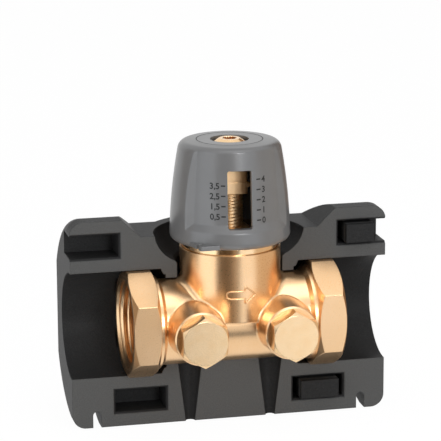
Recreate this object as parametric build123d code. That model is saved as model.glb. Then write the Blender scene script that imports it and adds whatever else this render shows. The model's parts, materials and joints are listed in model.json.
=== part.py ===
# A presettable shutoff valve with female ports, resting in the rear half of its
# moulded foam insulation shell. X runs along the pipe in the direction of flow,
# Y points to the back of the shell, Z follows the stem upwards, and the origin
# is where the axes of the pipe and the stem cross. All sizes are millimetres.
import os
from math import cos, radians, sin, sqrt

from build123d import *

# Travel of the mechanism
scale_pitch = 3.86
scale_divisions = 4
rest_reading = 2.75
lift_per_turn = 2.0
rest_lift = rest_reading * lift_per_turn
full_lift = scale_divisions * lift_per_turn

# Clearances
running_clearance = 0.05
free_clearance = 0.35
seat_clearance = 0.1
overrun = 1.0

# Pipe run and its two hexagon ends
run_half_length = 41.4
barrel_radius = 16.6
port_hex_flats = 39.0
port_hex_length = 10.6
port_hex_trim = 20.7
hex_chamfer_slope = 0.577
collar_radius = 18.1
collar_length = 1.4
collar_taper = 1.3
port_thread_radius = 16.62
port_bore_taper = 2.8
port_thread_depth = 10.6
port_countersink = 0.9
flow_bore_radius = 12.6

# Seat inside the body
chamber_end = 14.5
web_bottom = -3.0
web_top = -0.5
seat_bore_radius = 8.2
seat_rim_width = 1.2
seat_rim_height = 0.8

# Neck that carries the bonnet
neck_radius = 19.4
neck_bottom = 2.2
neck_top = 28.9
neck_chamber_radius = 12.4
neck_thread_radius = 15.0
neck_thread_depth = 15.4
root_fillet = 2.6
brim_fillet = 0.8

# Test port bosses on the front, and their plugs
boss_offset = 17.4
boss_root_radius = 11.3
boss_face_radius = 10.35
boss_face = 28.2
boss_edge = 0.5
boss_fillet = 0.8
seam_tolerance = 0.02
plug_thread_radius = 6.58
plug_thread_depth = 10.5
plug_passage_radius = 1.5
plug_hex_flats = 17.0
plug_head = 6.3
plug_shank = 8.5
plug_ring_drop = 1.4
ring_section = 0.85

# Bonnet
flange_radius = 18.35
flange_rim_gap = 0.3
flange_seat_depth = 1.0
flange_height = 3.1
bonnet_hex_flats = 30.0
bonnet_hex_height = 4.6
bonnet_ring_drop = 1.6
guide_radius = 10.4
guide_key_width = 2.2
guide_key_height = 1.1
collar_bore_radius = 8.7
journal_radius = 5.0
circlip_seat_radius = 7.0
circlip_seat_depth = 2.4
circlip_thickness = 0.75
circlip_groove_depth = 0.6
circlip_gap = 3.0

# Stem
stem_end = 13.6
stem_thread_radius = 6.0
stem_collar_radius = 8.5
stem_collar_height = 1.8
thrust_washer_thickness = 0.7
spindle_radius = 3.4
screw_bore_radius = 2.5
screw_bore_depth = 14.0
key_bore_radius = 1.6
memory_bore_top = 36.0
stem_ring_spacing = 2.7

# Obturator and its soft disc
obturator_height = 14.5
obturator_floor = 2.4
disc_radius = 10.2
disc_thickness = 2.4
disc_hole_radius = 2.2
disc_washer_radius = 5.2
disc_washer_thickness = 1.2
disc_screw_radius = 1.95
disc_screw_head_radius = 3.5
disc_screw_head_height = 2.0
disc_screw_slot_width = 0.9
disc_screw_slot_depth = 0.9
disc_screw_hole = 2.0

# Threaded post with the indicator nut
post_radius = 5.25
post_bore_radius = 3.75
post_end_gap = 1.4
post_hex_flats = 14.0
post_hex_height = 1.0
post_hex_sink = 1.1
post_chamfer = 0.6
nut_flats = 12.0
nut_corner = 1.0
nut_drop_at_zero = 31.065
nut_height = 9.4
nut_bore_radius = 5.3
nut_groove_height = 4.3
nut_groove_width = 0.8
nut_groove_depth = 0.45
pointer_centre = 3.5
pointer_height = 1.9
pointer_reach = 1.95
pointer_thickness = 2.4
pointer_root = 0.6

# Knob
knob_turn = -2.5
knob_bottom = 31.7
knob_top = 70.3
knob_foot_radius = 23.2
knob_waist_radius = 22.2
knob_shoulder_radius = 19.7
knob_shoulder_drop = 2.5
knob_crown_radius = 13.2
knob_crown_slope = 0.5
knob_shoulder_inset = 0.4
knob_shoulder_fillet = 3.4
knob_foot_fillet = 2.6
knob_wall = 2.2
knob_roof = 2.4
knob_hub_radius = 9.0
knob_hub_drop = 4.3
knob_screw_well_radius = 7.4
knob_screw_well_depth = 2.7
panel_half_angle = 50.0
panel_edge_turn = 20.0
panel_edge_root = 3.0
panel_edge_length = 12.0
panel_foot_radius = 21.4
panel_foot_z = 41.2
panel_head_radius = 19.2
panel_head_drop = 2.3
ledge_foot_radius = 23.2
ledge_foot_z = 38.0
panel_fillet = 1.2
window_width = 9.2
window_bottom = 39.7
window_top_drop = 8.6
window_corner = 0.8
guide_rib_offset = 4.0
guide_rib_thickness = 1.4
guide_rib_bottom = 43.0
seal_lug_thickness = 1.7
seal_lug_lift = 0.9
seal_lug_hole_radius = 1.3
seal_lug_hole_angle = -39.5
seal_lug_hole_stand = 2.0
seal_lug_corners = [(-63.0, -1.2), (-35.6, 4.8), (-22.1, 1.2), (-24.0, -1.8), (-58.0, -1.8)]

# Screw in the knob's well, and the memory stop inside the stem
knob_screw_head_radius = 6.3
knob_screw_crown_radius = 4.0
knob_screw_edge_height = 1.6
knob_screw_crown_height = 3.0
knob_screw_shank = 12.0
socket_flats = 5.0
socket_depth = 2.4
memory_screw_length = 15.5
memory_screw_radius = 2.5
memory_ring_section = 0.55
memory_socket_flats = 2.5
memory_socket_depth = 2.5
memory_ring_drop = 4.2

# Insulation shell, rear half
shell_half_length = 62.3
shell_radius = 41.3
shell_top = 40.75
shell_bottom = -40.85
shell_back = 36.4
shell_edge_radius = 5.3
shell_bore_radius = 20.9
shell_lip_outer = 25.3
shell_lip_mouth = 27.2
shell_tube_gap = 0.5
shell_neck_gap = 1.4
shell_hex_gap = 0.4
saddle_height = 33.8
saddle_half_length = 34.85
saddle_ramp_end = 42.0
bowl_rim_radius = 29.4
bowl_mid_radius = 26.7
bowl_mid_z = 27.6
bowl_floor_radius = 21.8
bowl_floor_z = 23.9
collar_wall_radius = 34.0
collar_wall_bottom = 15.0
foot_hole_offset = 16.0
foot_hole_top_radius = 4.4
foot_hole_top_z = -20.0
foot_hole_low_radius = 2.1
foot_hole_low_z = -38.7
strap_groove_offset = 52.7
strap_groove_width = 3.25
strap_groove_top = -34.4
pocket_depth = 12.5
pocket_bevel = 1.0
tongue_height = 7.2
tongue_proud = 3.0
tongue_gap = 3.4
upper_pocket_end = 42.3
upper_pocket_low = 25.4
upper_pocket_high = 36.3
lower_pocket_start = 24.4
lower_pocket_end = 46.4
lower_pocket_low = -36.3
lower_pocket_high = -25.6

# Places that follow from the sizes above
seat_top = web_top + seat_rim_height
disc_bottom = seat_top + seat_clearance + rest_lift
obturator_bottom = disc_bottom + disc_thickness
obturator_top = obturator_bottom + obturator_height
bonnet_bottom = neck_top - neck_thread_depth
flange_bottom = neck_top - flange_seat_depth
flange_top = flange_bottom + flange_height
bonnet_top = flange_top + bonnet_hex_height
bonnet_ring_height = flange_bottom - bonnet_ring_drop
highest_obturator = obturator_top + full_lift - rest_lift
stem_collar_bottom = highest_obturator + free_clearance
stem_collar_top = stem_collar_bottom + stem_collar_height
journal_bottom = stem_collar_top + thrust_washer_thickness + 2 * seat_clearance
circlip_seat = bonnet_top - circlip_seat_depth
post_foot = bonnet_top - post_hex_sink
knob_shoulder_z = knob_top - knob_shoulder_drop
knob_roof_z = knob_top - knob_roof
knob_hub_bottom = knob_top - knob_hub_drop
knob_screw_seat = knob_top - knob_screw_well_depth
panel_head_z = knob_top - panel_head_drop
window_height = knob_top - window_top_drop - window_bottom
nut_bottom = knob_top - nut_drop_at_zero + rest_reading * scale_pitch
stem_top = knob_screw_seat - seat_clearance
post_top = knob_hub_bottom - post_end_gap
barrel_half_length = run_half_length - port_hex_length


def rod(radius, low, high):
    """Cylinder on the stem axis between two heights."""
    return Pos(0, 0, low) * Cylinder(radius, high - low, align=(Align.CENTER, Align.CENTER, Align.MIN))


def turned(*points):
    """Solid turned about the stem axis from a closed outline of radius and height."""
    outline = Polyline(*[(r, 0, z) for r, z in points], close=True)
    return revolve(make_face(outline), Axis.Z)


def lengthwise(shape):
    """Turns a solid made on the stem axis onto the pipe axis."""
    return Rot(0, 90, 0) * shape


def frontwards(shape):
    """Turns a solid made on the stem axis to point out of the front."""
    return Rot(90, 0, 0) * shape


def hexagon(flats, low, high, turn=0):
    """Hexagonal bar on the stem axis, with a corner on X when turn is 0."""
    outline = RegularPolygon(flats / 2, 6, major_radius=False, rotation=turn)
    return Pos(0, 0, low) * extrude(outline, high - low)


def chamfered_hexagon(flats, low, high, low_edge, high_edge, turn=0):
    """Hexagonal bar with its corners turned down at the ends that the flags name."""
    inner = flats / 2
    outer = inner * 1.2
    drop = (outer - inner) * hex_chamfer_slope
    low_drop = drop if low_edge else 0
    high_drop = drop if high_edge else 0
    envelope = turned(
        (0, low), (inner, low), (outer, low + low_drop), (outer, high - high_drop), (inner, high), (0, high)
    )
    if not low_edge:
        envelope += rod(outer, low, (low + high) / 2)
    if not high_edge:
        envelope += rod(outer, (low + high) / 2, high)
    return hexagon(flats, low, high, turn) & envelope


def o_ring(outer_radius, section, centre):
    """Rubber ring whose outside lies at the given radius."""
    return Pos(0, 0, centre) * Torus(outer_radius - section, section)


def ring_groove(outer_radius, section, centre):
    """Space that a ring needs in the outside of a bar."""
    depth = 2 * section + seat_clearance
    half = section + seat_clearance
    return rod(outer_radius + overrun, centre - half, centre + half) - rod(
        outer_radius - depth, centre - half - overrun, centre + half + overrun
    )


def port_end(side):
    """One hexagon end with its collar, on the given side of the stem."""
    outer, inner = run_half_length, barrel_half_length
    bar = chamfered_hexagon(port_hex_flats, inner, outer, True, True)
    bar &= Pos(0, 0, (outer + inner) / 2) * Box(2 * port_hex_trim, 2 * port_hex_flats, port_hex_length)
    collar = turned(
        (0, inner),
        (collar_radius, inner),
        (collar_radius, inner - collar_length),
        (barrel_radius, inner - collar_length - collar_taper),
        (0, inner - collar_length - collar_taper),
    )
    end = lengthwise(bar + collar)
    return end if side > 0 else Rot(0, 0, 180) * end


def port_bore(side):
    """Countersunk thread bore of one port, opening into the flow bore."""
    outer = run_half_length
    mouth = port_thread_radius + port_countersink
    bore = turned(
        (0, outer + overrun),
        (mouth + overrun, outer + overrun),
        (port_thread_radius, outer - port_countersink),
        (port_thread_radius, outer - port_thread_depth),
        (flow_bore_radius, outer - port_thread_depth - port_bore_taper),
        (flow_bore_radius, chamber_end),
        (0, chamber_end),
    )
    bore = lengthwise(bore)
    return bore if side > 0 else Rot(0, 0, 180) * bore


def boss(side):
    """Conical boss of one test port, reaching out of the front."""
    outline = turned(
        (0, 0),
        (boss_root_radius, 0),
        (boss_face_radius, boss_face - boss_edge),
        (boss_face_radius - boss_edge, boss_face),
        (0, boss_face),
    )
    return Pos(side * boss_offset, 0, 0) * frontwards(outline)


def is_boss_seam(edge):
    """Whether an edge is one where a boss cone runs into the forging."""
    middle = edge.position_at(0.5)
    height = -middle.Y
    if edge.geom_type == GeomType.LINE or not boss_edge < height < boss_face - 2 * boss_edge:
        return False
    taper = (boss_root_radius - boss_face_radius) / (boss_face - boss_edge)
    from_axis = sqrt((abs(middle.X) - boss_offset) ** 2 + middle.Z**2)
    return abs(from_axis - boss_root_radius + taper * height) < seam_tolerance


def boss_bore(side):
    """Thread bore of one test port and the fine passage to the flow bore."""
    thread = rod(plug_thread_radius, boss_face - plug_thread_depth, boss_face + overrun)
    passage = rod(plug_passage_radius, 0, boss_face)
    return Pos(side * boss_offset, 0, 0) * frontwards(thread + passage)


def seat_chambers():
    """Space left and right of the seat: under the web from the inlet, over it to the outlet."""
    full = lengthwise(rod(flow_bore_radius, -chamber_end - overrun, chamber_end + overrun))
    reach = flow_bore_radius
    length = chamber_end + overrun + seat_bore_radius
    corner = (Align.MIN, Align.CENTER, Align.MIN)
    under = Box(length, 2 * reach, reach, align=corner)
    under = Pos(seat_bore_radius - length, 0, web_bottom - reach) * under
    over = Pos(-seat_bore_radius, 0, web_top) * Box(length, 2 * reach, 2 * reach, align=corner)
    return full & (under + over)


def forging():
    """Barrel, neck and bosses as pressed, with the rounded seams between them."""
    barrel = lengthwise(rod(barrel_radius, -barrel_half_length, barrel_half_length))
    column = rod(neck_radius, -neck_top, neck_top)
    cross = barrel + column
    cross = fillet(cross.edges() - barrel.edges() - column.edges(), root_fillet)
    above = Pos(0, 0, neck_bottom) * Box(
        2 * run_half_length, 3 * neck_radius, neck_top, align=(Align.CENTER, Align.CENTER, Align.MIN)
    )
    neck = cross & above
    brim = neck.edges().group_by(Axis.Z)[0].filter_by(GeomType.CIRCLE)
    blank = fillet(brim, brim_fillet) + barrel
    blank += [boss(side) for side in (-1, 1)]
    return fillet(blank.edges().filter_by(is_boss_seam), boss_fillet)


def valve_body():
    """Hot pressed brass body with two ports, the neck and both test port bosses."""
    shell = forging()
    shell += [port_end(side) for side in (-1, 1)]
    shell -= [port_bore(side) for side in (-1, 1)]
    shell -= seat_chambers()
    shell -= rod(neck_chamber_radius, web_top, neck_top)
    shell -= rod(neck_thread_radius + running_clearance, bonnet_bottom - overrun, neck_top)
    shell -= rod(flange_radius + flange_rim_gap, flange_bottom, neck_top + overrun)
    rim_radius = seat_bore_radius + seat_rim_width
    shell += rod(rim_radius, web_top - overrun, seat_top)
    shell -= rod(seat_bore_radius, web_bottom - overrun, seat_top + overrun)
    shell -= [boss_bore(side) for side in (-1, 1)]
    return shell


def bonnet():
    """Brass bonnet: guides the obturator, carries the stem and closes the neck."""
    solid = rod(neck_thread_radius, bonnet_bottom, flange_top)
    solid += rod(flange_radius, flange_bottom, flange_top)
    solid += chamfered_hexagon(bonnet_hex_flats, flange_top - overrun, bonnet_top, False, True)
    solid -= rod(guide_radius, bonnet_bottom - overrun, stem_collar_bottom - free_clearance)
    solid -= rod(collar_bore_radius, stem_collar_bottom - free_clearance - overrun, journal_bottom)
    solid -= rod(journal_radius + running_clearance, bonnet_bottom, bonnet_top + overrun)
    solid -= rod(circlip_seat_radius, circlip_seat, bonnet_top + overrun)
    solid -= ring_groove(neck_thread_radius, ring_section, bonnet_ring_height)
    key_height = stem_collar_bottom - free_clearance - bonnet_bottom
    key = Pos(guide_radius + overrun, 0, bonnet_bottom) * Box(
        guide_key_height + overrun, guide_key_width, key_height, align=(Align.MAX, Align.CENTER, Align.MIN)
    )
    return solid + [Rot(0, 0, turn) * key for turn in (0, 180)]


def stem():
    """Turning stem with its lifting thread, collar, journal and spindle."""
    solid = rod(stem_thread_radius, stem_end, stem_collar_bottom)
    solid += rod(stem_collar_radius, stem_collar_bottom, stem_collar_top)
    solid += rod(journal_radius, stem_collar_top, post_foot - free_clearance)
    solid += rod(spindle_radius, post_foot - free_clearance, stem_top)
    solid -= rod(screw_bore_radius, stem_top - screw_bore_depth, stem_top + overrun)
    solid -= rod(key_bore_radius, stem_end, stem_top)
    solid -= rod(memory_screw_radius + running_clearance, stem_end - overrun, memory_bore_top)
    solid -= [ring_groove(journal_radius, ring_section, height) for height in stem_ring_heights()]
    low = circlip_seat + seat_clearance
    high = low + circlip_thickness + seat_clearance
    circlip_groove = rod(journal_radius + overrun, low, high)
    circlip_groove -= rod(journal_radius - circlip_groove_depth, low - overrun, high + overrun)
    return solid - circlip_groove


def stem_ring_heights():
    """Heights of the two rings that seal the stem's journal."""
    middle = (journal_bottom + circlip_seat) / 2
    return [middle - stem_ring_spacing / 2, middle + stem_ring_spacing / 2]


def thrust_washer():
    """Low friction washer between the stem's collar and the bonnet."""
    low = stem_collar_top + seat_clearance
    return rod(stem_collar_radius, low, low + thrust_washer_thickness) - rod(
        journal_radius + free_clearance, low - overrun, low + 2 * overrun
    )


def circlip():
    """Open retaining ring that holds the stem down in the bonnet."""
    low = circlip_seat + seat_clearance + running_clearance
    high = low + circlip_thickness
    inner = journal_radius - circlip_groove_depth + running_clearance
    ring = rod(circlip_seat_radius - free_clearance, low, high) - rod(inner, low - overrun, high + overrun)
    return ring - Pos(0, journal_radius, high) * Box(circlip_gap, 2 * journal_radius, 2 * overrun)


def obturator():
    """Brass plug that the stem lifts off the seat, kept from turning by two keys."""
    solid = rod(guide_radius - running_clearance * 2, obturator_bottom, obturator_top)
    thread = stem_thread_radius + running_clearance
    solid -= rod(thread, obturator_bottom + obturator_floor, obturator_top + overrun)
    screw_hole = disc_screw_radius + running_clearance
    solid -= rod(screw_hole, obturator_bottom - overrun, obturator_bottom + disc_screw_hole)
    keyway = Pos(guide_radius, 0, obturator_bottom - overrun) * Box(
        2 * (guide_key_height + free_clearance),
        guide_key_width + free_clearance,
        obturator_height + 2 * overrun,
        align=(Align.CENTER, Align.CENTER, Align.MIN),
    )
    return solid - [Rot(0, 0, turn) * keyway for turn in (0, 180)]


def seat_disc():
    """Soft disc that closes on the seat."""
    hole = rod(disc_hole_radius, disc_bottom - overrun, obturator_bottom + overrun)
    return rod(disc_radius, disc_bottom, obturator_bottom) - hole


def disc_washer():
    """Washer that clamps the soft disc."""
    low = disc_bottom - disc_washer_thickness
    hole = rod(disc_hole_radius, low - overrun, disc_bottom + overrun)
    return rod(disc_washer_radius, low, disc_bottom) - hole


def disc_screw():
    """Screw that holds the washer and the disc to the obturator."""
    seat = disc_bottom - disc_washer_thickness
    head = rod(disc_screw_head_radius, seat - disc_screw_head_height, seat)
    shank = rod(disc_screw_radius, seat, obturator_bottom + disc_screw_hole - seat_clearance)
    slot = Pos(0, 0, seat - disc_screw_head_height) * Box(
        disc_screw_slot_width, 3 * disc_screw_head_radius, 2 * disc_screw_slot_depth
    )
    return head + shank - slot


def threaded_post():
    """Fixed post over the stem, whose steep thread raises the indicator nut."""
    solid = rod(circlip_seat_radius - running_clearance, post_foot, bonnet_top)
    solid += chamfered_hexagon(post_hex_flats, bonnet_top, bonnet_top + post_hex_height, False, True)
    solid += turned(
        (0, bonnet_top),
        (post_radius, bonnet_top),
        (post_radius, post_top - post_chamfer),
        (post_radius - post_chamfer, post_top),
        (0, post_top),
    )
    return solid - rod(post_bore_radius, post_foot - overrun, post_top + overrun)


def indicator_nut():
    """Square nut that climbs the post and points at the scale."""
    top = nut_bottom + nut_height
    block = extrude(RectangleRounded(nut_flats, nut_flats, nut_corner), nut_height)
    solid = Pos(0, 0, nut_bottom) * block
    groove = Pos(0, 0, nut_bottom + nut_groove_height + nut_groove_width / 2) * (
        Box(2 * nut_flats, 2 * nut_flats, nut_groove_width)
        - Box(nut_flats - 2 * nut_groove_depth, nut_flats - 2 * nut_groove_depth, nut_groove_width)
    )
    solid -= groove
    root = nut_flats / 2
    middle = nut_bottom + pointer_centre
    arrow = Polyline(
        (root - pointer_root, -root, middle - pointer_height / 2),
        (root, -root, middle - pointer_height / 2),
        (root + pointer_reach, -root, middle),
        (root, -root, middle + pointer_height / 2),
        (root - pointer_root, -root, middle + pointer_height / 2),
        close=True,
    )
    solid += extrude(make_face(arrow), pointer_thickness, dir=(0, 1, 0))
    solid -= rod(nut_bore_radius, nut_bottom - overrun, top + overrun)
    return Rot(0, 0, knob_turn) * solid


def knob_flank(offset):
    """Curved flank of the knob, moved inwards by the offset."""
    middle_z = (knob_bottom + knob_shoulder_z) / 2
    return ThreePointArc(
        (knob_foot_radius - offset, 0, knob_bottom),
        (knob_waist_radius - offset, 0, middle_z),
        (knob_shoulder_radius - offset, 0, knob_shoulder_z),
    )


def knob_blank():
    """Outside of the knob as turned, before the two panels are cut."""
    flank = knob_flank(0)
    top = Polyline(
        (knob_shoulder_radius, 0, knob_shoulder_z),
        (knob_shoulder_radius - knob_shoulder_inset, 0, knob_top - knob_crown_slope),
        (knob_crown_radius, 0, knob_top),
        (0, 0, knob_top),
        (0, 0, knob_bottom),
        (knob_foot_radius, 0, knob_bottom),
    )
    return revolve(make_face(flank + top), Axis.Z)


def panel_radius(height):
    """Radius of the two recessed panels at a height."""
    slope = (panel_foot_radius - panel_head_radius) / (panel_head_z - panel_foot_z)
    return panel_foot_radius + slope * (panel_foot_z - height)


def panel_core():
    """Cone that the front and back panels are cut down to."""
    low, high = knob_bottom, knob_top + overrun
    return turned((0, low), (panel_radius(low), low), (panel_radius(high), high), (0, high))


def flank_mass(side):
    """Tapered wedge that keeps one flank of the knob standing proud of the panels."""
    angle = radians(panel_half_angle)
    turn = radians(panel_half_angle - panel_edge_turn)
    sections = []
    for height in (knob_bottom, knob_top + overrun):
        radius = panel_radius(height)
        near, far = [
            (side * (radius * sin(angle) + reach * cos(turn)), radius * cos(angle) - reach * sin(turn))
            for reach in (-panel_edge_root, panel_edge_length)
        ]
        outline = Polyline(near, far, (far[0], -far[1]), (near[0], -near[1]), close=True)
        sections.append(Pos(0, 0, height) * make_face(outline))
    return loft(sections, ruled=True)


def ledge_mass():
    """Cone that leaves a sloping ledge under each panel."""
    run = (panel_foot_z - ledge_foot_z) / (ledge_foot_radius - panel_foot_radius)
    outer = ledge_foot_radius + 3 * overrun
    inner = panel_foot_radius - 4 * overrun
    return turned(
        (0, knob_bottom - overrun),
        (outer, knob_bottom - overrun),
        (outer, ledge_foot_z - 3 * overrun * run),
        (inner, panel_foot_z + 4 * overrun * run),
        (0, panel_foot_z + 4 * overrun * run),
    )


def knob_hollow():
    """Space inside the knob, a wall's thickness behind the panels."""
    head = panel_head_radius - knob_wall
    hem = knob_foot_radius - knob_wall - seat_clearance
    return turned(
        (0, knob_bottom - overrun),
        (hem, knob_bottom - overrun),
        (hem, knob_bottom),
        (panel_foot_radius - knob_wall, panel_foot_z),
        (head, knob_roof_z - knob_wall),
        (head - knob_wall, knob_roof_z),
        (0, knob_roof_z),
    )


def guide_ribs():
    """Two ribs inside the back wall that keep the indicator nut from turning in the knob."""
    front = nut_flats / 2 + free_clearance
    low, high = guide_rib_bottom, knob_roof_z + knob_roof / 2
    depth = panel_head_radius - knob_wall / 2 - front
    rib = Pos(0, front, low) * Box(
        guide_rib_thickness, depth, high - low, align=(Align.CENTER, Align.MIN, Align.MIN)
    )
    return [Pos(side * guide_rib_offset, 0, 0) * rib for side in (-1, 1)]


def polar(angle, radius):
    """Place in plan, from an angle counted from the front towards the right."""
    return radius * sin(radians(angle)), -radius * cos(radians(angle))


def seal_lug():
    """Small lug at the knob's foot with a hole for the sealing wire."""
    points = [polar(angle, knob_foot_radius + stand) for angle, stand in seal_lug_corners]
    outline = make_face(Polyline(*points, close=True))
    plate = Pos(0, 0, knob_bottom + seal_lug_lift) * extrude(outline, seal_lug_thickness)
    x, y = polar(seal_lug_hole_angle, knob_foot_radius + seal_lug_hole_stand)
    return plate - Pos(x, y, knob_bottom) * Cylinder(seal_lug_hole_radius, 4 * seal_lug_thickness)


def knob():
    """Moulded knob with two recessed panels, the scale window and guide ribs inside."""
    blank = knob_blank()
    rings = blank.edges().filter_by(GeomType.CIRCLE).sort_by(Axis.Z)
    blank = fillet(rings[-2:-1], knob_shoulder_fillet)
    blank = fillet(blank.edges().filter_by(GeomType.CIRCLE).sort_by(Axis.Z)[:1], knob_foot_fillet)
    outside = blank & (panel_core() + flank_mass(-1) + flank_mass(1) + ledge_mass())
    outside = fillet(outside.edges() - blank.edges(), panel_fillet)
    solid = outside - knob_hollow()
    solid += guide_ribs()
    solid += rod(knob_hub_radius, knob_hub_bottom, knob_roof_z + knob_roof / 4)
    solid -= rod(knob_screw_well_radius, knob_screw_seat, knob_top + overrun)
    solid -= rod(spindle_radius + running_clearance, knob_hub_bottom - overrun, knob_top)
    window_middle = window_bottom + window_height / 2
    opening = Plane(origin=(0, -nut_flats, window_middle), x_dir=(1, 0, 0), z_dir=(0, -1, 0))
    outline = opening * RectangleRounded(window_width, window_height, window_corner)
    solid -= extrude(outline, knob_foot_radius)
    return Rot(0, 0, knob_turn) * solid + seal_lug()


def knob_screw():
    """Domed screw in the knob's well, hollow for the key of the memory stop."""
    crown = knob_screw_seat + knob_screw_crown_height
    head = turned(
        (0, knob_screw_seat),
        (knob_screw_head_radius, knob_screw_seat),
        (knob_screw_head_radius, knob_screw_seat + knob_screw_edge_height),
        (knob_screw_crown_radius, crown),
        (0, crown),
    )
    shank = rod(screw_bore_radius - running_clearance, stem_top - knob_screw_shank, knob_screw_seat)
    socket = hexagon(socket_flats, crown - socket_depth, crown + overrun)
    return head + shank - socket - rod(key_bore_radius, stem_top - knob_screw_shank - overrun, crown)


def memory_screw():
    """Memory stop: a screw inside the stem that limits how far the valve opens."""
    top = stem_end + memory_screw_length
    solid = rod(memory_screw_radius, stem_end, top)
    solid -= hexagon(memory_socket_flats, top - memory_socket_depth, top + overrun)
    return solid - ring_groove(memory_screw_radius, memory_ring_section, memory_ring_height())


def memory_ring_height():
    """Height of the ring that seals the memory stop."""
    return stem_end + memory_screw_length - memory_ring_drop


def test_plug(side):
    """Hexagon plug of one test port."""
    low, high = boss_face + seat_clearance / 2, boss_face + plug_head
    head = chamfered_hexagon(plug_hex_flats, low, high, False, True, 90)
    shank = rod(plug_thread_radius - running_clearance, boss_face - plug_shank, boss_face + seat_clearance)
    shank -= ring_groove(plug_thread_radius, ring_section, boss_face - plug_ring_drop)
    return Pos(side * boss_offset, 0, 0) * frontwards(head + shank)


def test_plug_ring(side):
    """Rubber ring under the head of one test port plug."""
    ring = o_ring(plug_thread_radius - running_clearance, ring_section, boss_face - plug_ring_drop)
    return Pos(side * boss_offset, 0, 0) * frontwards(ring)


def shell_blank():
    """Outside of the half shell with its rounded ends and the wall round the bowl."""
    disc = Circle(shell_radius) & Pos(0, (shell_top + shell_bottom) / 2) * Rectangle(
        2 * shell_radius, shell_top - shell_bottom
    )
    disc &= Rectangle(2 * shell_back, 3 * shell_radius)
    profile = Plane(origin=(-shell_half_length, 0, 0), x_dir=(0, 1, 0), z_dir=(1, 0, 0)) * disc
    bar = extrude(profile, 2 * shell_half_length)
    groups = bar.edges().group_by(Axis.X)
    bar = fillet(groups[0] + groups[-1], shell_edge_radius)
    rear = Box(
        2 * shell_half_length + 2 * overrun,
        2 * shell_radius,
        3 * shell_radius,
        align=(Align.CENTER, Align.MIN, Align.CENTER),
    )
    saddle = Polyline(
        (-saddle_ramp_end, 0, shell_top),
        (-saddle_half_length, 0, saddle_height),
        (saddle_half_length, 0, saddle_height),
        (saddle_ramp_end, 0, shell_top),
        close=True,
    )
    bar &= rear
    bar -= extrude(make_face(saddle), 2 * shell_radius, dir=(0, 1, 0))
    wall = rod(collar_wall_radius, collar_wall_bottom, saddle_height) & rear
    return bar + wall


def shell_cavity():
    """Space in the shell for the pipe run, its hexagons and the fittings beyond them."""
    tube = lengthwise(rod(barrel_radius + shell_tube_gap, -shell_half_length, shell_half_length))
    collars = lengthwise(rod(collar_radius + shell_tube_gap, -barrel_half_length, barrel_half_length))
    tube += collars - lengthwise(rod(2 * collar_radius, -shell_lip_outer, shell_lip_outer))
    mouth = turned(
        (0, shell_lip_outer),
        (barrel_radius + shell_tube_gap, shell_lip_outer),
        (shell_bore_radius, shell_lip_mouth),
        (shell_bore_radius, shell_half_length + overrun),
        (0, shell_half_length + overrun),
    )
    low, high = barrel_half_length - shell_hex_gap, run_half_length + shell_hex_gap
    seat = hexagon(port_hex_flats + 2 * shell_hex_gap, low, high)
    bore = Box(2 * shell_bore_radius, 3 * port_hex_flats, 4 * port_hex_length)
    seat &= Pos(0, 0, run_half_length) * bore
    end = lengthwise(mouth + seat)
    return tube + end + Rot(0, 0, 180) * end


def shell_bowl():
    """Space round the neck and under the knob."""
    arc = ThreePointArc(
        (bowl_rim_radius, 0, saddle_height),
        (bowl_mid_radius, 0, bowl_mid_z),
        (bowl_floor_radius, 0, bowl_floor_z),
    )
    neck = neck_radius + shell_neck_gap
    rest = Polyline(
        (bowl_floor_radius, 0, bowl_floor_z),
        (neck, 0, bowl_floor_z - overrun),
        (neck, 0, 0),
        (0, 0, 0),
        (0, 0, saddle_height + overrun),
        (bowl_rim_radius, 0, saddle_height + overrun),
        (bowl_rim_radius, 0, saddle_height),
    )
    return revolve(make_face(arc + rest), Axis.Z)


def joint_space(left, right, low, high, depth, bevel):
    """Rectangular pocket cut back from the parting face, with a bevelled mouth."""
    middle_x, middle_z = (left + right) / 2, (low + high) / 2
    width, height = right - left, high - low
    pocket = Pos(middle_x, depth / 2, middle_z) * Box(width - 2 * bevel, depth, height - 2 * bevel)
    mouth = extrude(
        Plane(origin=(middle_x, 0, middle_z), x_dir=(1, 0, 0), z_dir=(0, 1, 0)) * Rectangle(width, height),
        bevel,
        taper=44.9,
    )
    return pocket + mouth


def insulation_half_shell():
    """Rear half of the moulded foam shell that the valve lies in."""
    solid = shell_blank() - shell_cavity() - shell_bowl()
    for side in (-1, 1):
        slope = (foot_hole_top_radius - foot_hole_low_radius) / (foot_hole_top_z - foot_hole_low_z)
        low, high = shell_bottom - overrun, -barrel_radius + overrun
        hole = turned(
            (0, low),
            (foot_hole_low_radius + slope * (low - foot_hole_low_z), low),
            (foot_hole_low_radius + slope * (high - foot_hole_low_z), high),
            (0, high),
        )
        solid -= Pos(side * foot_hole_offset, 0, 0) * hole
        half = strap_groove_width / 2
        below = (Align.CENTER, Align.MIN, Align.MAX)
        slit = Box(strap_groove_width, shell_radius, shell_radius, align=below)
        groove = slit + Rot(-90, 0, 0) * rod(half, 0, shell_radius)
        solid -= Pos(side * strap_groove_offset, 0, strap_groove_top - half) * groove
        outer = side * (shell_half_length + 2 * overrun)
        ends = sorted((side * upper_pocket_end, outer))
        solid -= joint_space(*ends, upper_pocket_low, upper_pocket_high, pocket_depth, pocket_bevel)
        ends = sorted((side * lower_pocket_start, side * lower_pocket_end))
        solid -= joint_space(*ends, lower_pocket_low, lower_pocket_high, pocket_depth, pocket_bevel)
    return solid + tongues()


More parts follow.
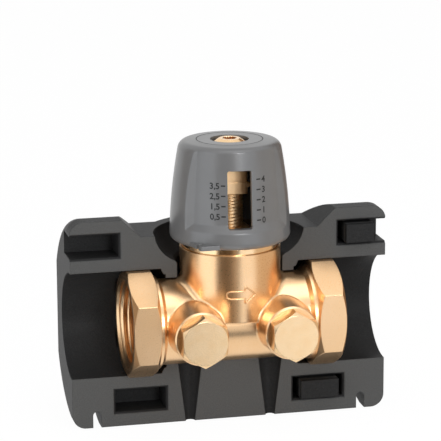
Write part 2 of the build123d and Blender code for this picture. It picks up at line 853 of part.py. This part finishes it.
def tongues():
    """Tongues that stand in the right hand pockets and reach out of the parting face."""
    upper_z = (upper_pocket_low + upper_pocket_high) / 2
    lower_z = (lower_pocket_low + lower_pocket_high) / 2
    depth = pocket_depth + tongue_proud + overrun
    start = upper_pocket_end + tongue_gap
    upper_length = shell_half_length - shell_edge_radius - start
    lower_length = lower_pocket_end - lower_pocket_start - 2 * tongue_gap
    lower_x = (lower_pocket_end + lower_pocket_start) / 2
    corner = (Align.CENTER, Align.MIN, Align.CENTER)
    upper_bar = Box(upper_length, depth, tongue_height, align=corner)
    lower_bar = Box(lower_length, depth, tongue_height, align=corner)
    upper = Pos(start + upper_length / 2, -tongue_proud, upper_z) * upper_bar
    return [upper, Pos(lower_x, -tongue_proud, lower_z) * lower_bar]


def write(node, shape):
    """Writes one node's solid."""
    export_step(shape, f"parts/{node}.step")


def main():
    os.makedirs("parts", exist_ok=True)
    write("valve_body", valve_body())
    write("bonnet", bonnet())
    write("bonnet_oring", o_ring(neck_thread_radius, ring_section, bonnet_ring_height))
    write("stem", stem())
    for place, height in zip(("lower", "upper"), stem_ring_heights()):
        write(f"stem_oring_{place}", o_ring(journal_radius, ring_section, height))
    write("stem_thrust_washer", thrust_washer())
    write("stem_circlip", circlip())
    write("obturator", obturator())
    write("seat_disc", seat_disc())
    write("disc_washer", disc_washer())
    write("disc_screw", disc_screw())
    write("threaded_post", threaded_post())
    write("indicator_nut", indicator_nut())
    write("knob", knob())
    write("knob_screw", knob_screw())
    write("memory_screw", memory_screw())
    write("memory_oring", o_ring(memory_screw_radius, memory_ring_section, memory_ring_height()))
    for place, side in (("left", -1), ("right", 1)):
        write(f"test_plug_{place}", test_plug(side))
        write(f"test_plug_oring_{place}", test_plug_ring(side))
    write("insulation_half_shell", insulation_half_shell())


main()
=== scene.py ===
import json
from math import cos, pi, radians, sin

import bmesh
import bpy
from mathutils import Matrix, Vector


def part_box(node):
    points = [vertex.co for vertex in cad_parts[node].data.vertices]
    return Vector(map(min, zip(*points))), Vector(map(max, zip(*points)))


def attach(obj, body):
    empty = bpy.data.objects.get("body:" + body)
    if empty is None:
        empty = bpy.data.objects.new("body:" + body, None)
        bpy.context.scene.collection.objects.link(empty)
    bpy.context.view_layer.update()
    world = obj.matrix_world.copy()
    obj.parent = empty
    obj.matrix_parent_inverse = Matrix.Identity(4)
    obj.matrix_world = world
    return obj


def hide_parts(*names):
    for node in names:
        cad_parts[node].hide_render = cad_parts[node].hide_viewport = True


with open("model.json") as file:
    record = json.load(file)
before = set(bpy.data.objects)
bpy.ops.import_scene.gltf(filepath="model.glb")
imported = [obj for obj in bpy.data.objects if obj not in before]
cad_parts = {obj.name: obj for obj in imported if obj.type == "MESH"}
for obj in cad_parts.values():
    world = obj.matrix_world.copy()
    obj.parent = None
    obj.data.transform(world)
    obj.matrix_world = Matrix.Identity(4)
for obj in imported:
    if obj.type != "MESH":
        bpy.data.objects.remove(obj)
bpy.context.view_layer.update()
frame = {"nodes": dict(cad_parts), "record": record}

# Looks of a presettable brass shutoff valve lying in half of its foam shell.
# Blender works in metres; sizes below are in millimetres and go through mm.
mm = 0.001
scene = bpy.context.scene
nodes = frame["nodes"]
print("scene: frame loaded,", len(nodes), "nodes")


def linearFromHex(code):
    # sRGB hex to the linear values that shaders want
    values = []
    for start in (0, 2, 4):
        part = int(code[start:start + 2], 16) / 255
        values.append(part / 12.92 if part <= 0.04045 else ((part + 0.055) / 1.055) ** 2.4)
    return (*values, 1.0)


def addNode(tree, kind, settings=None, inputs=None):
    # one node with its settings, and with its inputs linked or set
    node = tree.nodes.new(kind)
    for name, value in (settings or {}).items():
        setattr(node, name, value)
    for name, value in (inputs or {}).items():
        if isinstance(value, bpy.types.NodeSocket):
            tree.links.new(value, node.inputs[name])
        else:
            node.inputs[name].default_value = value
    return node


def newMaterial(name):
    # a bare material, with the object's own coordinates in millimetres
    material = bpy.data.materials.new(name)
    material.use_nodes = True
    tree = material.node_tree
    tree.nodes.clear()
    output = addNode(tree, "ShaderNodeOutputMaterial")
    place = addNode(tree, "ShaderNodeTexCoord").outputs["Object"]
    inMm = addNode(tree, "ShaderNodeVectorMath", {"operation": "SCALE"}, {0: place, "Scale": 1 / mm})
    return material, tree, output, inMm.outputs["Vector"]


def noiseAt(tree, inMm, size, detail=2.0):
    # noise whose lumps are about size millimetres across
    inputs = {"Vector": inMm, "Scale": 1 / size, "Detail": detail}
    return addNode(tree, "ShaderNodeTexNoise", None, inputs)


def rampOf(tree, factor, stops):
    # colour ramp from position and hex pairs
    ramp = addNode(tree, "ShaderNodeValToRGB", None, {"Fac": factor})
    band = ramp.color_ramp
    while len(band.elements) < len(stops):
        band.elements.new(0.5)
    for element, (position, code) in zip(band.elements, stops):
        element.position = position
        element.color = linearFromHex(code)
    return ramp.outputs["Color"]


def between(tree, factor, ends):
    # a factor spread between two values
    inputs = {"Value": factor, "To Min": ends[0], "To Max": ends[1]}
    return addNode(tree, "ShaderNodeMapRange", None, inputs).outputs["Result"]


def softBump(tree, height, look):
    # edges rounded as far as the look says, with its texture on top
    rounded = addNode(tree, "ShaderNodeBevel", {"samples": 6}, {"Radius": look["edge"] * mm})
    bump = addNode(
        tree, "ShaderNodeBump", None,
        {
            "Strength": look["bump"], "Distance": look["relief"] * mm,
            "Height": height, "Normal": rounded.outputs["Normal"],
        },
    )
    return bump.outputs["Normal"]


def surface(tree, output, inputs):
    # the shader that ends a material
    shader = addNode(tree, "ShaderNodeBsdfPrincipled", None, inputs)
    tree.links.new(shader.outputs["BSDF"], output.inputs["Surface"])


forgedLook = {
    "light": "f3cb9e", "dark": "eec494", "roughness": (0.26, 0.30), "grit": 0.3, "lump": 12.0,
    "edge": 0.35, "relief": 0.2, "bump": 0.02,
}


def forgedBrass():
    # brass hot pressed in a die and shot blasted: warm, satin, with a fine even grit
    look = forgedLook
    material, tree, output, inMm = newMaterial("hot pressed brass, shot blasted")
    lumps = noiseAt(tree, inMm, look["lump"], 4.0).outputs["Fac"]
    grit = noiseAt(tree, inMm, look["grit"], 1.0).outputs["Fac"]  # real grit is finer than would show
    surface(tree, output, {
        "Base Color": rampOf(tree, lumps, [(0.3, look["dark"]), (0.7, look["light"])]),
        "Metallic": 1.0,
        "Roughness": between(tree, grit, look["roughness"]),
        "Normal": softBump(tree, grit, look),
    })
    return material


turnedLook = {
    "light": "f6d4a8", "dark": "f1cc9c", "roughness": (0.18, 0.24), "feed": 0.35, "patch": 3.0,
    "edge": 0.2, "relief": 0.1, "bump": 0.03,
}

# duller and more even, from tumbling after the thread is cut
tumbledLook = {**turnedLook, "light": "f8d6aa", "dark": "f2cb9b", "roughness": (0.40, 0.48)}

waveRepeats = 6.2  # a wave texture of scale 1 shows about this many bands in a millimetre


def turnedBrass(name, look):
    # bar brass turned on a lathe: brighter than the forging, with faint tool lines
    material, tree, output, inMm = newMaterial(name)
    lines = addNode(
        tree, "ShaderNodeTexWave", {"wave_type": "BANDS", "bands_direction": "Z"},
        {"Vector": inMm, "Scale": 1 / (look["feed"] * waveRepeats), "Distortion": 0.4, "Detail": 1.0},
    ).outputs["Fac"]
    patch = noiseAt(tree, inMm, look["patch"], 3.0).outputs["Fac"]
    surface(tree, output, {
        "Base Color": rampOf(tree, patch, [(0.3, look["dark"]), (0.7, look["light"])]),
        "Metallic": 1.0,
        "Roughness": between(tree, patch, look["roughness"]),
        "Normal": softBump(tree, lines, look),
    })
    return material


knobLook = {
    "light": "6c6c6c", "dark": "686868", "roughness": (0.26, 0.32), "texture": 0.3, "cloud": 9.0,
    "edge": 0.4, "relief": 0.1, "bump": 0.04, "ior": 1.60,
}


def mouldedNylon():
    # glass filled nylon, injection moulded in a finely eroded tool: even grey with a soft shine
    look = knobLook
    material, tree, output, inMm = newMaterial("glass filled nylon, moulded")
    grain = noiseAt(tree, inMm, look["texture"], 2.0).outputs["Fac"]
    cloud = noiseAt(tree, inMm, look["cloud"], 2.0).outputs["Fac"]
    surface(tree, output, {
        "Base Color": rampOf(tree, cloud, [(0.3, look["dark"]), (0.7, look["light"])]),
        "Roughness": between(tree, grain, look["roughness"]),
        "IOR": look["ior"],
        "Normal": softBump(tree, grain, look),
    })
    return material


# the skin colours are partly the moulded skin and partly painted shade for the pockets and bores
foamLook = {
    "cut": "5c5c5b", "cutDark": "4e4e4d", "skinAndShade": "303030", "skinAndShadeDark": "262626", "bead": 2.6, "grain": 0.35,
    "seam": 0.08, "face": (0.15, 0.45), "roughness": (0.75, 0.42),
    "edge": 0.6, "relief": 0.4, "bump": 0.12, "shine": 0.06,
}


def beadFoam():
    # expanded polypropylene beads, steam moulded: a paler grained face at the parting, and a matt black skin
    # on every face away from it, whose darker colour also paints the shade in the pockets and bores
    look = foamLook
    material, tree, output, inMm = newMaterial("expanded polypropylene, steam moulded")
    grain = noiseAt(tree, inMm, look["grain"], 3.0).outputs["Fac"]
    beads = addNode(
        tree, "ShaderNodeTexVoronoi", {"feature": "DISTANCE_TO_EDGE"},
        {"Vector": inMm, "Scale": 1 / look["bead"]},
    ).outputs["Distance"]
    cut = rampOf(tree, grain, [(0.35, look["cutDark"]), (0.65, look["cut"])])
    # painted shade: this darker colour covers every face away from the parting plane, pockets and bores
    # included
    skinAndShade = rampOf(tree, grain, [(0.35, look["skinAndShadeDark"]), (0.65, look["skinAndShade"])])
    depth = addNode(tree, "ShaderNodeSeparateXYZ", None, {"Vector": inMm}).outputs["Y"]
    away = addNode(tree, "ShaderNodeMath", {"operation": "ABSOLUTE"}, {0: depth}).outputs["Value"]
    near, far = look["face"]
    parting = addNode(tree, "ShaderNodeMapRange", None, {"Value": away, "From Min": near, "From Max": far})
    parting = parting.outputs["Result"]
    colour = addNode(tree, "ShaderNodeMix", {"data_type": "RGBA"}, {"Factor": parting, "A": cut, "B": skinAndShade})
    seams = addNode(tree, "ShaderNodeMapRange", None, {"Value": beads, "From Max": look["seam"]})
    height = addNode(
        tree, "ShaderNodeMath", {"operation": "MULTIPLY_ADD"}, {0: grain, 1: 0.6, 2: seams.outputs["Result"]}
    )
    surface(tree, output, {
        "Base Color": colour.outputs["Result"],
        "Roughness": between(tree, parting, look["roughness"]),
        "Specular IOR Level": look["shine"],
        "Normal": softBump(tree, height.outputs["Value"], look),
    })
    return material


plainLooks = {
    "nitrile rubber, moulded": {"hex": "161616", "roughness": (0.45, 0.6), "metallic": 0.0, "grain": 0.6},
    "filled rubber disc, cut": {"hex": "24201d", "roughness": (0.6, 0.75), "metallic": 0.0, "grain": 0.8},
    "white acetal, turned": {"hex": "e4e2da", "roughness": (0.3, 0.42), "metallic": 0.0, "grain": 0.9},
    "spring steel, ground": {"hex": "a9a9aa", "roughness": (0.25, 0.38), "metallic": 1.0, "grain": 0.3},
    "scale print, dark pad ink": {"hex": "1c1c1c", "roughness": (0.5, 0.6), "metallic": 0.0, "grain": 0.2},
}


def plainSurface(name):
    # small parts: one colour with a cloudy gloss, which is what their moulding or turning leaves
    look = plainLooks[name]
    material, tree, output, inMm = newMaterial(name)
    cloud = noiseAt(tree, inMm, look["grain"], 2.0).outputs["Fac"]
    bump = addNode(tree, "ShaderNodeBump", None, {"Strength": 0.05, "Distance": 0.05 * mm, "Height": cloud})
    surface(tree, output, {
        "Base Color": linearFromHex(look["hex"]),
        "Metallic": look["metallic"],
        "Roughness": between(tree, cloud, look["roughness"]),
        "Normal": bump.outputs["Normal"],
    })
    return material


forged = forgedBrass()
turned = turnedBrass("free cutting brass, turned", turnedLook)
rolled = turnedBrass("free cutting brass, thread cut and tumbled", tumbledLook)
nylon = mouldedNylon()
foam = beadFoam()
rubber, disc, acetal, steel, ink = [plainSurface(name) for name in plainLooks]

slotLooks = {
    "forged_brass": forged, "turned_brass": turned, "knob_plastic": nylon, "foam": foam,
    "rubber": rubber, "soft_disc": disc, "white_plastic": acetal, "steel": steel,
}
for part in frame["record"]["subparts"]:
    solid = nodes[part["node"]]
    for place in solid.material_slots:
        place.material = slotLooks[part["material_slot"]]
for place in nodes["indicator_nut"].material_slots:
    place.material = rolled
print("scene: materials on the solids")


def pieceFrom(name, mesh, body, material):
    # links a finished mesh as a piece that rides on a body
    piece = bpy.data.objects.new(name, mesh)
    scene.collection.objects.link(piece)
    piece.data.materials.append(material)
    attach(piece, body)
    return piece


def gridMesh(name, rows, closed=False):
    # mesh from rows of points, joined row to row; closed joins the ends of each row
    mesh = bpy.data.meshes.new(name)
    width = len(rows[0])
    points = [Vector(point) * mm for row in rows for point in row]
    faces = []
    for i in range(len(rows) - 1):
        for j in range(width if closed else width - 1):
            k = (j + 1) % width
            faces.append((i * width + j, i * width + k, (i + 1) * width + k, (i + 1) * width + j))
    mesh.from_pydata(points, [], faces)
    for face in mesh.polygons:
        face.use_smooth = True
    return mesh


portThread = {
    "pitch": 2.309, "major": 16.66, "minor": 15.15, "start": 30.95, "end": 40.6, "runOut": 0.3, "steps": 72,
    "fade": 20, "foot": 0.94, "crest": 0.18,
}


def portThreadMesh(name, side):
    # female pipe thread as a ridge wound inside the bore, fading in at both ends
    make = portThread
    turns = (make["end"] - make["start"]) / make["pitch"]
    count = int(turns * make["steps"])
    half = make["pitch"] / 2
    rows = []
    for i in range(count + 1):
        angle = 2 * pi * i / make["steps"]
        along = make["start"] + make["pitch"] * i / make["steps"]
        fade = min(1.0, i / make["fade"], (count - i) / make["fade"])
        depth = (make["major"] - make["minor"]) * fade
        foot, crest = make["foot"] * half, make["crest"] * half
        section = [(-foot, 0), (-crest, depth), (crest, depth), (foot, 0)]
        row = []
        for shift, inward in section:
            r = make["major"] - inward
            x = side * min(along + shift, make["end"] + make["runOut"])
            row.append((x, r * cos(angle) * side, r * sin(angle)))
        rows.append(row)
    return gridMesh(name, rows)


for side, name in ((-1, "inlet_thread"), (1, "outlet_thread")):
    pieceFrom(name, portThreadMesh(name, side), "valve", forged)
print("scene: port threads")


postThread = {
    "crest": 5.24, "root": 4.92, "lead": 3.86, "starts": 3, "bore": 3.75,
    "foot": 34.5, "spigot": 6.95, "seat": 35.6, "base": 36.6, "hexFlats": 14.0, "chamfer": 0.3,
    "plainTop": 0.5, "tip": 0.3, "steps": 72, "rise": 0.16, "fadeIn": 5, "fadeOut": 6,
}


def postMesh(name):
    # the post with its steep three start thread, its hexagon foot and its spigot
    make = postThread
    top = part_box("threaded_post")[1].z / mm
    steps, rise, base = make["steps"], make["rise"], make["base"]
    flats, chamfer = make["hexFlats"], make["chamfer"]
    rows = []

    def ring(r, z):
        rows.append([(r * cos(2 * pi * j / steps), r * sin(2 * pi * j / steps), z) for j in range(steps)])

    ring(make["bore"], make["foot"])
    ring(make["spigot"], make["foot"])
    ring(make["spigot"], make["seat"])
    for z, across in ((make["seat"], flats), (base - chamfer, flats), (base, flats - 2 * chamfer)):
        row = []
        for j in range(steps):
            angle = 2 * pi * j / steps
            r = across / 2 / cos((angle + pi / 6) % (pi / 3) - pi / 6)
            row.append((r * cos(angle), r * sin(angle), z))
        rows.append(row)
    ring(make["root"], base)
    pitch = make["lead"] / make["starts"]
    count = int((top - make["plainTop"] - base) / rise)
    for i in range(count + 1):
        z = base + rise * i
        row = []
        for j in range(steps):
            angle = 2 * pi * j / steps
            phase = (z / pitch - make["starts"] * angle / (2 * pi)) % 1.0
            wave = (1 - cos(2 * pi * phase)) / 2
            fade = min(1.0, i / make["fadeIn"], (count - i) / make["fadeOut"])
            r = make["root"] + (make["crest"] - make["root"]) * wave * fade
            row.append((r * cos(angle), r * sin(angle), z))
        rows.append(row)
    ring(make["root"] - make["tip"], top)
    ring(make["bore"], top)
    ring(make["bore"], make["foot"])
    return gridMesh(name, rows, closed=True)


postLook = postMesh("threaded_post_look")
postPiece = pieceFrom("threaded_post_look", postLook, "valve", rolled)
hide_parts("threaded_post")
print("scene: post thread")


scalePrint = {
    "zero": 42.735, "pitch": 3.86, "turn": -2.5, "lift": 0.04, "tickHeight": 0.52,
    "figureHeight": 2.35, "capShare": 0.73, "bold": 0.07, "spread": 1.02,
    "right": {"values": (0, 1, 2, 3, 4), "tick": (6.6, 8.4), "figure": 8.95, "align": "LEFT"},
    "left": {"values": (0.5, 1.5, 2.5, 3.5), "tick": (-7.15, -5.45), "figure": -7.6, "align": "RIGHT"},
    "panel": ((41.2, 21.4), (68.0, 19.2)),
}


def panelPoint(across, height):
    # a place on the front panel, from its distance along the arc and its height
    (z0, r0), (z1, r1) = scalePrint["panel"]
    r = r0 + (r1 - r0) * (height - z0) / (z1 - z0)
    angle = across / r + radians(scalePrint["turn"])
    r += scalePrint["lift"]
    return Vector((r * sin(angle), -r * cos(angle), height)) * mm


def wrapped(bm, spot):
    # cuts flat print finely and bends it round the panel
    bmesh.ops.triangulate(bm, faces=bm.faces)
    bmesh.ops.subdivide_edges(bm, edges=[e for e in bm.edges if e.calc_length() > 1.0], cuts=2)
    for vert in bm.verts:
        vert.co = spot(vert.co.x, vert.co.y)
    bmesh.ops.recalc_face_normals(bm, faces=bm.faces)


def figureMesh(text, height, align):
    # one figure of the scale as a flat mesh in millimetres, its digits as high as asked
    curve = bpy.data.curves.new("figure", "FONT")
    curve.body = text
    curve.align_x = align
    curve.size = height / scalePrint["capShare"]
    curve.resolution_u = 3
    curve.offset = scalePrint["bold"]
    holder = bpy.data.objects.new("figure", curve)
    scene.collection.objects.link(holder)
    bpy.context.view_layer.update()
    mesh = bpy.data.meshes.new_from_object(holder.evaluated_get(bpy.context.evaluated_depsgraph_get()))
    bpy.data.objects.remove(holder)
    return mesh


def scaleMesh(name):
    # ticks and figures on both sides of the window, as one thin layer of ink
    make = scalePrint
    whole = bmesh.new()
    for side in ("right", "left"):
        rows = make[side]
        for value in rows["values"]:
            height = make["zero"] + make["pitch"] * value
            part = bmesh.new()
            start, end = rows["tick"]
            half = make["tickHeight"] / 2
            corners = ((start, -half), (end, -half), (end, half), (start, half))
            part.faces.new([part.verts.new((x, y, 0)) for x, y in corners])
            figure = figureMesh(str(value).replace(".", ","), make["figureHeight"], rows["align"])
            before = len(part.verts)
            part.from_mesh(figure)
            part.verts.ensure_lookup_table()
            for vert in part.verts[before:]:
                vert.co.x = vert.co.x * make["spread"] + rows["figure"]
                vert.co.y -= make["figureHeight"] / 2
            wrapped(part, lambda x, y: panelPoint(x, height + y))
            done = bpy.data.meshes.new("row")
            part.to_mesh(done)
            whole.from_mesh(done)
            part.free()
            bpy.data.meshes.remove(done)
            bpy.data.meshes.remove(figure)
    mesh = bpy.data.meshes.new(name)
    whole.to_mesh(mesh)
    whole.free()
    return mesh


pieceFrom("scale_print", scaleMesh("scale_print"), "knob_and_stem", ink)

crownRing = {"radius": 12.65, "width": 0.4, "height": 70.33, "steps": 96}


def crownRingMesh(name):
    # the plain printed circle on top of the knob
    make = crownRing
    rows = []
    for r in (make["radius"] - make["width"] / 2, make["radius"] + make["width"] / 2):
        turns = [2 * pi * j / make["steps"] for j in range(make["steps"])]
        rows.append([(r * cos(angle), r * sin(angle), make["height"]) for angle in turns])
    return gridMesh(name, rows, closed=True)


pieceFrom("crown_ring_print", crownRingMesh("crown_ring_print"), "knob_and_stem", ink)
print("scene: scale print")


flowArrow = {
    "neck": 19.4, "left": -5.8, "right": 5.5, "middle": 13.7, "half": 3.3, "shaft": 1.45, "head": 1.3,
    "width": 0.75, "height": 0.55, "step": 0.4,
    "profile": [(-1.0, -0.15), (-0.7, 0.55), (-0.3, 0.92), (0.3, 0.92), (0.7, 0.55), (1.0, -0.15)],
}


def arrowOutline():
    # the arrow's outline in millimetres across and up: rounded tail on the left, head on the right
    make = flowArrow
    tail = make["left"] + make["shaft"]
    points = []
    for i in range(9):
        angle = pi / 2 + pi * i / 8
        points.append((tail + make["shaft"] * cos(angle), make["shaft"] * sin(angle)))
    points += [(make["head"], -make["shaft"]), (make["head"], -make["half"]), (make["right"], 0)]
    points += [(make["head"], make["half"]), (make["head"], make["shaft"])]
    return [Vector((x, y + make["middle"])) for x, y in points]


def densely(points, step):
    # a closed outline with extra points on its long sides
    dense = []
    for a, b in zip(points, points[1:] + points[:1]):
        count = max(1, int((b - a).length / step))
        dense += [a.lerp(b, i / count) for i in range(count)]
    return dense


def arrowMesh(name):
    # a low rounded rib that follows the outline on the neck
    make = flowArrow
    line = densely(arrowOutline(), make["step"])
    count = len(line)
    rows = []
    for i in range(count + 1):
        here, before, after = line[i % count], line[(i - 1) % count], line[(i + 1) % count]
        along = (after - before).normalized()
        out = Vector((along.y, -along.x))
        row = []
        for shift, rise in make["profile"]:
            spot = here + out * (shift * make["width"] / 2)
            r = make["neck"] + rise * make["height"]
            angle = spot.x / make["neck"]
            row.append((r * sin(angle), -r * cos(angle), spot.y))
        rows.append(row)
    return gridMesh(name, rows)


pieceFrom("flow_arrow", arrowMesh("flow_arrow"), "valve", forged)
print("scene: flow arrow")


studio = {
    "floor": -41.2, "floorHex": "f4f4f4", "paperGlow": 1.02, "paperShare": 0.95,
    "sky": 0.42, "reflectedSky": 1.0,
    "cardDistance": 1.6, "lampDistance": 1.1, "lampColour": (0.99, 1.0, 1.02),
}

world = bpy.data.worlds.new("soft studio")
scene.world = world
world.use_nodes = True
tree = world.node_tree
tree.nodes.clear()
# the sky is white to the camera and in reflections, and dimmer as a light
rays = addNode(tree, "ShaderNodeLightPath")
seen = rays.outputs["Is Camera Ray"]
for kind in ("Is Glossy Ray", "Is Transmission Ray"):
    seen = addNode(
        tree, "ShaderNodeMath", {"operation": "MAXIMUM"}, {0: seen, 1: rays.outputs[kind]}
    ).outputs["Value"]
strength = between(tree, seen, (studio["sky"], studio["reflectedSky"]))
sky = addNode(tree, "ShaderNodeBackground", None, {"Color": (1, 1, 1, 1), "Strength": strength})
addNode(tree, "ShaderNodeOutputWorld", None, {"Surface": sky.outputs["Background"]})


def floorMaterial():
    # pale paper floor: white to the camera, with a trace of the object's shadow
    material, tree, output, inMm = newMaterial("pale studio paper")
    paper = addNode(tree, "ShaderNodeBsdfDiffuse", None, {"Color": linearFromHex(studio["floorHex"])})
    glow = addNode(
        tree, "ShaderNodeEmission", None, {"Color": (1, 1, 1, 1), "Strength": studio["paperGlow"]}
    )
    seen = addNode(tree, "ShaderNodeLightPath").outputs["Is Camera Ray"]
    share = addNode(tree, "ShaderNodeMath", {"operation": "MULTIPLY"}, {0: seen, 1: studio["paperShare"]})
    mixed = addNode(
        tree, "ShaderNodeMixShader", None,
        {"Fac": share.outputs["Value"], 1: paper.outputs["BSDF"], 2: glow.outputs["Emission"]},
    )
    tree.links.new(mixed.outputs["Shader"], output.inputs["Surface"])
    return material


def cardMaterial(colour):
    # studio card that only shows in reflections
    material, tree, output, inMm = newMaterial("studio card")
    glow = addNode(tree, "ShaderNodeEmission", None, {"Strength": 1.0})
    glow.inputs["Color"].default_value = (*colour, 1)
    tree.links.new(glow.outputs["Emission"], output.inputs["Surface"])
    return material


def stagePlane(name, centre, towards, width, height, material):
    # a flat card that faces a point
    mesh = bpy.data.meshes.new(name)
    w, h = width / 2, height / 2
    mesh.from_pydata([(-w, -h, 0), (w, -h, 0), (w, h, 0), (-w, h, 0)], [], [(0, 1, 2, 3)])
    card = bpy.data.objects.new(name, mesh)
    scene.collection.objects.link(card)
    card.data.materials.append(material)
    card.location = centre
    card.rotation_euler = (Vector(towards) - Vector(centre)).to_track_quat("Z", "Y").to_euler()
    return card


floor = stagePlane("floor", (0, 0, studio["floor"] * mm), (0, 0, 1), 8, 8, floorMaterial())
floor.visible_glossy = floor.visible_shadow = False


def around(turn, rise, distance):
    # a place round the valve: turn counts from the front towards the right, rise from level
    turn, rise = radians(turn), radians(rise)
    return Vector((sin(turn) * cos(rise), -cos(turn) * cos(rise), sin(rise))) * distance


# flats that stand round the valve and show only in its reflections
cards = {
    "card_left_edge": {"turn": -113, "rise": 0, "size": (0.98, 2.6), "colour": (0.30, 0.23, 0.17)},
    "card_left": {"turn": -71, "rise": 0, "size": (1.30, 2.6), "colour": (0.06, 0.11, 0.16)},
    "card_front_dark": {"turn": -25, "rise": -14, "size": (1.16, 1.35), "colour": (0.06, 0.03, 0.006)},
    "card_front_mid": {"turn": -1, "rise": -14, "size": (0.26, 1.35), "colour": (0.34, 0.24, 0.15)},
    "card_right": {"turn": 24, "rise": -6, "size": (1.25, 2.1), "colour": (0.05, 0.08, 0.12)},
    "card_right_mid": {"turn": 78, "rise": -4, "size": (2.0, 2.4), "colour": (0.70, 0.58, 0.46)},
    "card_right_dark": {"turn": 130, "rise": 0, "size": (1.16, 2.6), "colour": (0.22, 0.13, 0.07)},
}
for name, card in cards.items():
    at = around(card["turn"], card["rise"], studio["cardDistance"])
    plane = stagePlane(name, at, (0, 0, 0), *card["size"], cardMaterial(card["colour"]))
    plane.visible_camera = plane.visible_diffuse = False
    plane.visible_shadow = plane.visible_transmission = False

lamps = {
    "softbox_left": {"turn": -67, "rise": 2, "size": (0.87, 1.20), "watts": 4.6},
    "softbox_right": {"turn": 28, "rise": -3, "size": (0.72, 0.90), "watts": 2.3},
    "softbox_front": {"turn": 8, "rise": 14, "size": (0.26, 0.36), "watts": 3.6},
    "softbox_top": {"turn": 20, "rise": 72, "size": (0.8, 0.8), "watts": 2.9},
}
for name, lamp in lamps.items():
    light = bpy.data.lights.new(name, "AREA")
    light.shape = "RECTANGLE"
    light.size, light.size_y = lamp["size"]
    light.energy = lamp["watts"]
    light.color = studio["lampColour"]
    holder = bpy.data.objects.new(name, light)
    scene.collection.objects.link(holder)
    holder.location = around(lamp["turn"], lamp["rise"], studio["lampDistance"])
    holder.rotation_euler = holder.location.to_track_quat("Z", "Y").to_euler()

# the photograph's viewpoint: 13 degrees left of the front, 13 degrees up, long lens
view = {
    "at": (-0.207484, -0.869378, 0.252067),
    "right": (0.97334705, -0.22929591, -0.00434782),
    "up": (0.05745752, 0.22546241, 0.97255608),
    "back": (-0.22202286, -0.94688441, 0.23262794),
    "lens": 195.87,
}
lens = bpy.data.cameras.new("camera")
lens.lens = view["lens"]
lens.clip_start, lens.clip_end = 0.05, 20
camera = bpy.data.objects.new("camera", lens)
scene.collection.objects.link(camera)
columns = Matrix((view["right"], view["up"], view["back"])).transposed()
camera.matrix_world = Matrix.Translation(view["at"]) @ columns.to_4x4()
scene.camera = camera
scene.view_settings.view_transform = "Standard"
print("scene: studio and camera")
